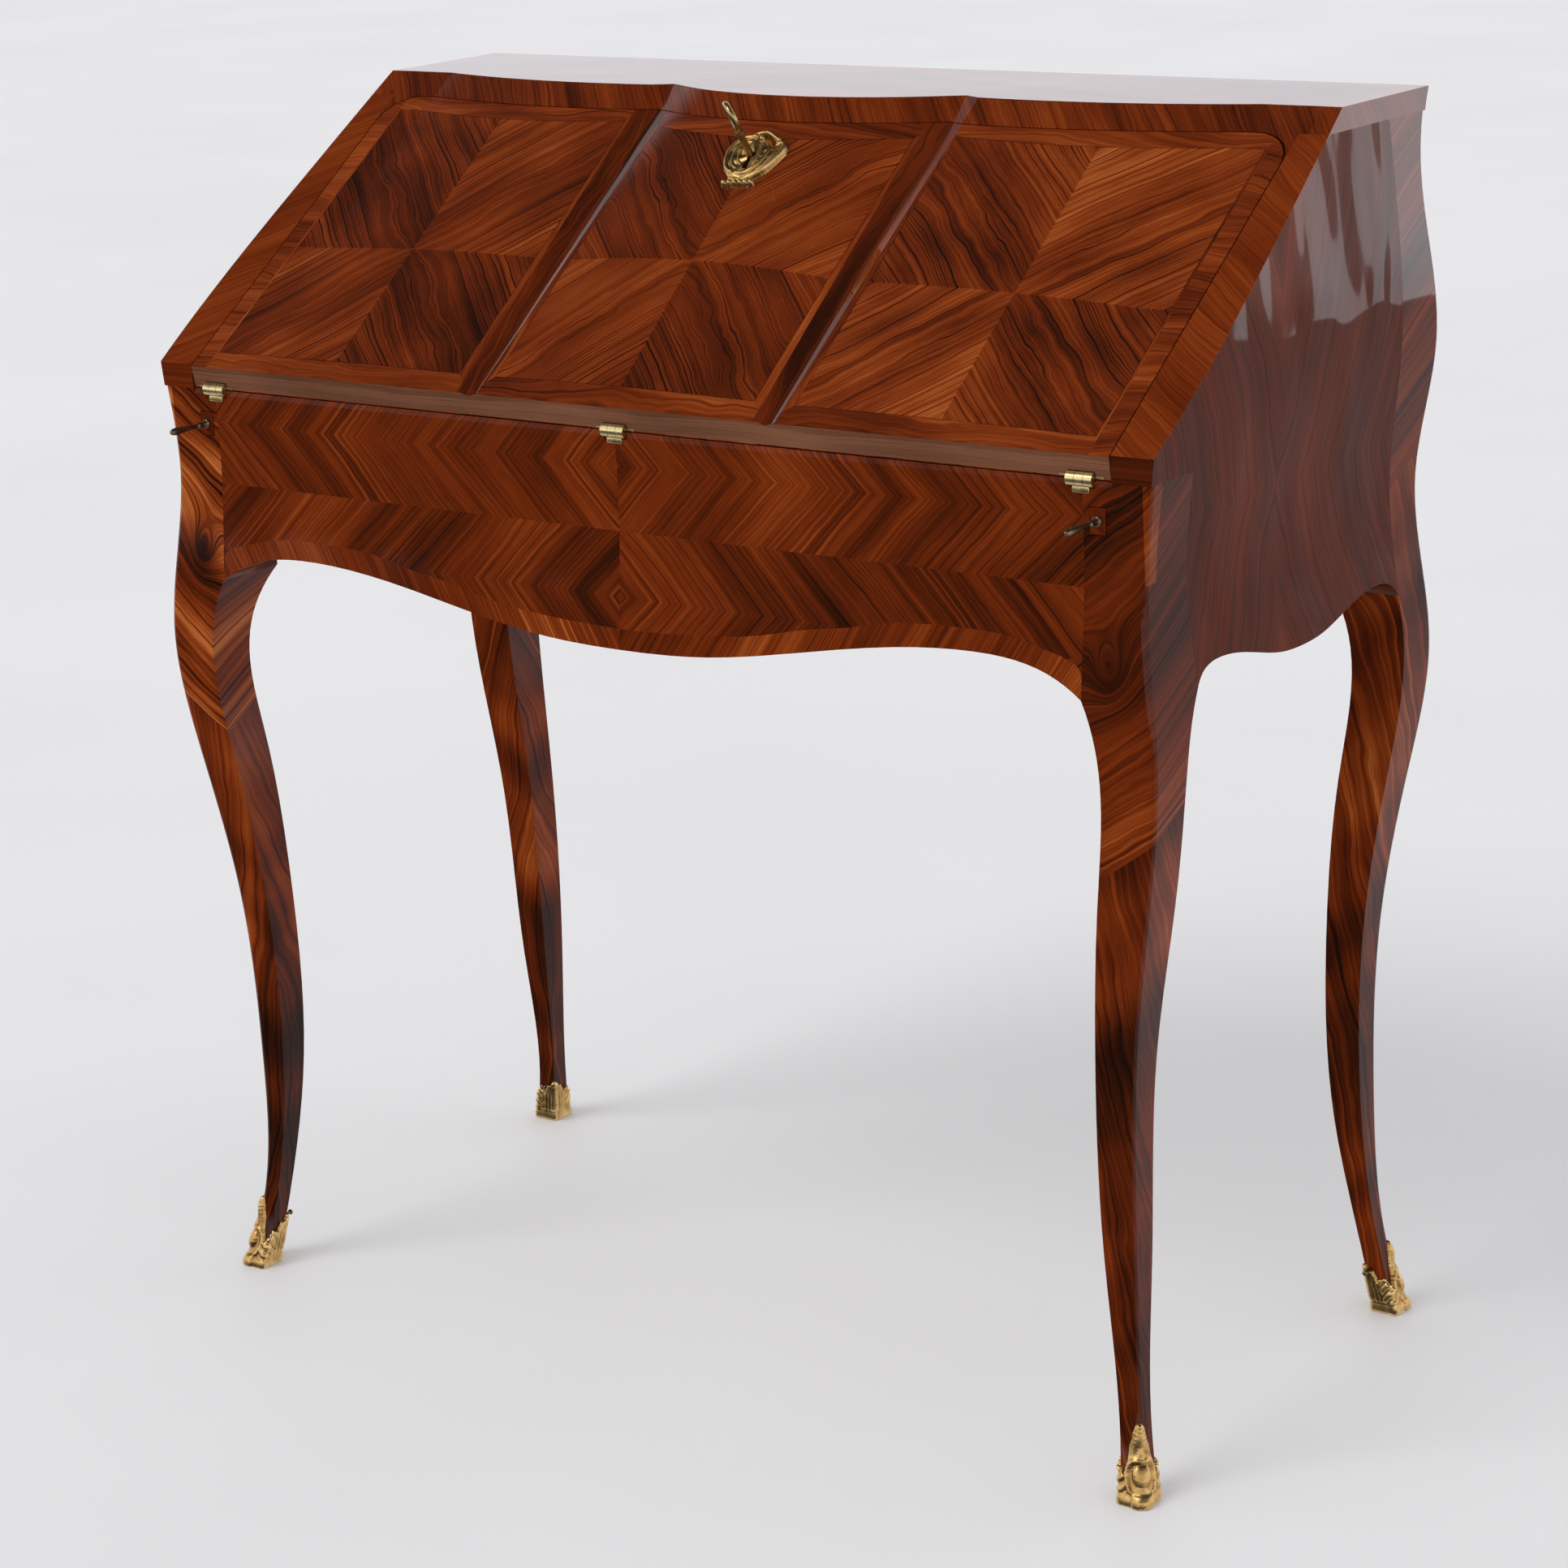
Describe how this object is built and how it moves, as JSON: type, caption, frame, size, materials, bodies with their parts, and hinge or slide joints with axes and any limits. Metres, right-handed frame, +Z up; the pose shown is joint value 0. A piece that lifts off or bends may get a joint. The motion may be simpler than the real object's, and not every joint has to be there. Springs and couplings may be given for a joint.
{
  "type": "slant-front desk",
  "caption": "Slant-front writing desk on cabriole legs: hinged crossbow fall on pull-out supports, fitted interior of small drawers and pigeonholes over a lidded well.",
  "frame": {"origin": "on the floor, under the middle of the desk's box", "axes": "+X to the sitter's right, +Y to the back, +Z up"},
  "size_m": [0.882, 0.445, 0.9339],
  "materials": {
    "leg_veneer": "French polish",
    "gilt_bronze": "aged gilding",
    "apron_veneer": "French polish",
    "back_veneer": "French polish",
    "side_veneer": "French polish",
    "top_veneer": "French polish",
    "fall_veneer": "French polish",
    "carcase_oak": "waxed",
    "interior_wood": "satin polish",
    "brass": "aged brass",
    "iron": "worn",
    "leather": "waxed"
  },
  "bodies": {
    "case": {"front_left_leg": "leg_veneer", "front_right_leg": "leg_veneer", "rear_left_leg": "leg_veneer", "rear_right_leg": "leg_veneer", "front_left_sabot": "gilt_bronze", "front_right_sabot": "gilt_bronze", "rear_left_sabot": "gilt_bronze", "rear_right_sabot": "gilt_bronze", "sabot_nails": "gilt_bronze", "front_apron": "apron_veneer", "back_panel": "back_veneer", "left_side": "side_veneer", "right_side": "side_veneer", "top_board": "top_veneer", "front_rail": "top_veneer", "case_bottom": "carcase_oak", "well_cheeks": "carcase_oak", "well_back": "carcase_oak", "left_loper_guide": "carcase_oak", "right_loper_guide": "carcase_oak", "fall_stops": "carcase_oak", "writing_bed": "interior_wood", "drawer_shelf": "interior_wood", "upper_shelf": "interior_wood", "drawer_dividers": "interior_wood", "pigeonhole_dividers": "interior_wood", "left_hinge_case_leaf": "brass", "middle_hinge_case_leaf": "brass", "right_hinge_case_leaf": "brass", "hinge_pins": "brass", "lock_strike": "brass", "hinge_case_screws": "iron"},
    "fall": {"fall_board": "fall_veneer", "writing_leather": "leather", "left_hinge_fall_leaf": "brass", "middle_hinge_fall_leaf": "brass", "right_hinge_fall_leaf": "brass", "hinge_fall_screws": "iron", "lock_case": "iron", "escutcheon": "gilt_bronze"},
    "key": {"key": "brass"},
    "bolt": {"lock_bolt": "iron"},
    "left_loper": {"left_loper": "carcase_oak", "left_loper_pull": "brass"},
    "right_loper": {"right_loper": "carcase_oak", "right_loper_pull": "brass"},
    "left_drawer": {"left_drawer_front": "interior_wood", "left_drawer_tray": "interior_wood", "left_drawer_knob": "brass"},
    "middle_drawer": {"middle_drawer_front": "interior_wood", "middle_drawer_tray": "interior_wood", "middle_drawer_knob": "brass"},
    "right_drawer": {"right_drawer_front": "interior_wood", "right_drawer_tray": "interior_wood", "right_drawer_knob": "brass"},
    "well_lid": {"well_lid": "interior_wood"}
  },
  "joints": [
    {"name": "fall_hinge", "type": "hinge", "parent": "case", "child": "fall", "pos_m": [0, -0.1815, 0.722], "axis": [1, 0, 0], "range_deg": [0, 145.45]},
    {"name": "key_turn", "type": "hinge", "parent": "fall", "child": "key", "pos_m": [0, 0.01637, 0.85797], "axis": [0, -0.5663, 0.8242], "range_deg": [0, 120]},
    {"name": "bolt_slide", "type": "slide", "parent": "fall", "child": "bolt", "axis": [0, 0.8242, 0.5663], "range_m": [0, 0.008]},
    {"name": "left_loper_slide", "type": "slide", "parent": "case", "child": "left_loper", "axis": [0, -1, 0], "range_m": [0, 0.235]},
    {"name": "right_loper_slide", "type": "slide", "parent": "case", "child": "right_loper", "axis": [0, -1, 0], "range_m": [0, 0.235]},
    {"name": "left_drawer_slide", "type": "slide", "parent": "case", "child": "left_drawer", "axis": [0, -1, 0], "range_m": [0, 0.08]},
    {"name": "middle_drawer_slide", "type": "slide", "parent": "case", "child": "middle_drawer", "axis": [0, -1, 0], "range_m": [0, 0.08]},
    {"name": "right_drawer_slide", "type": "slide", "parent": "case", "child": "right_drawer", "axis": [0, -1, 0], "range_m": [0, 0.08]},
    {"name": "well_lid_slide", "type": "slide", "parent": "case", "child": "well_lid", "axis": [0, 1, 0], "range_m": [0, 0.125]}
  ],
  "couplings": [
    {"joint": "key_turn", "follows": "bolt_slide", "rad_per_m": 261.8}
  ]
}
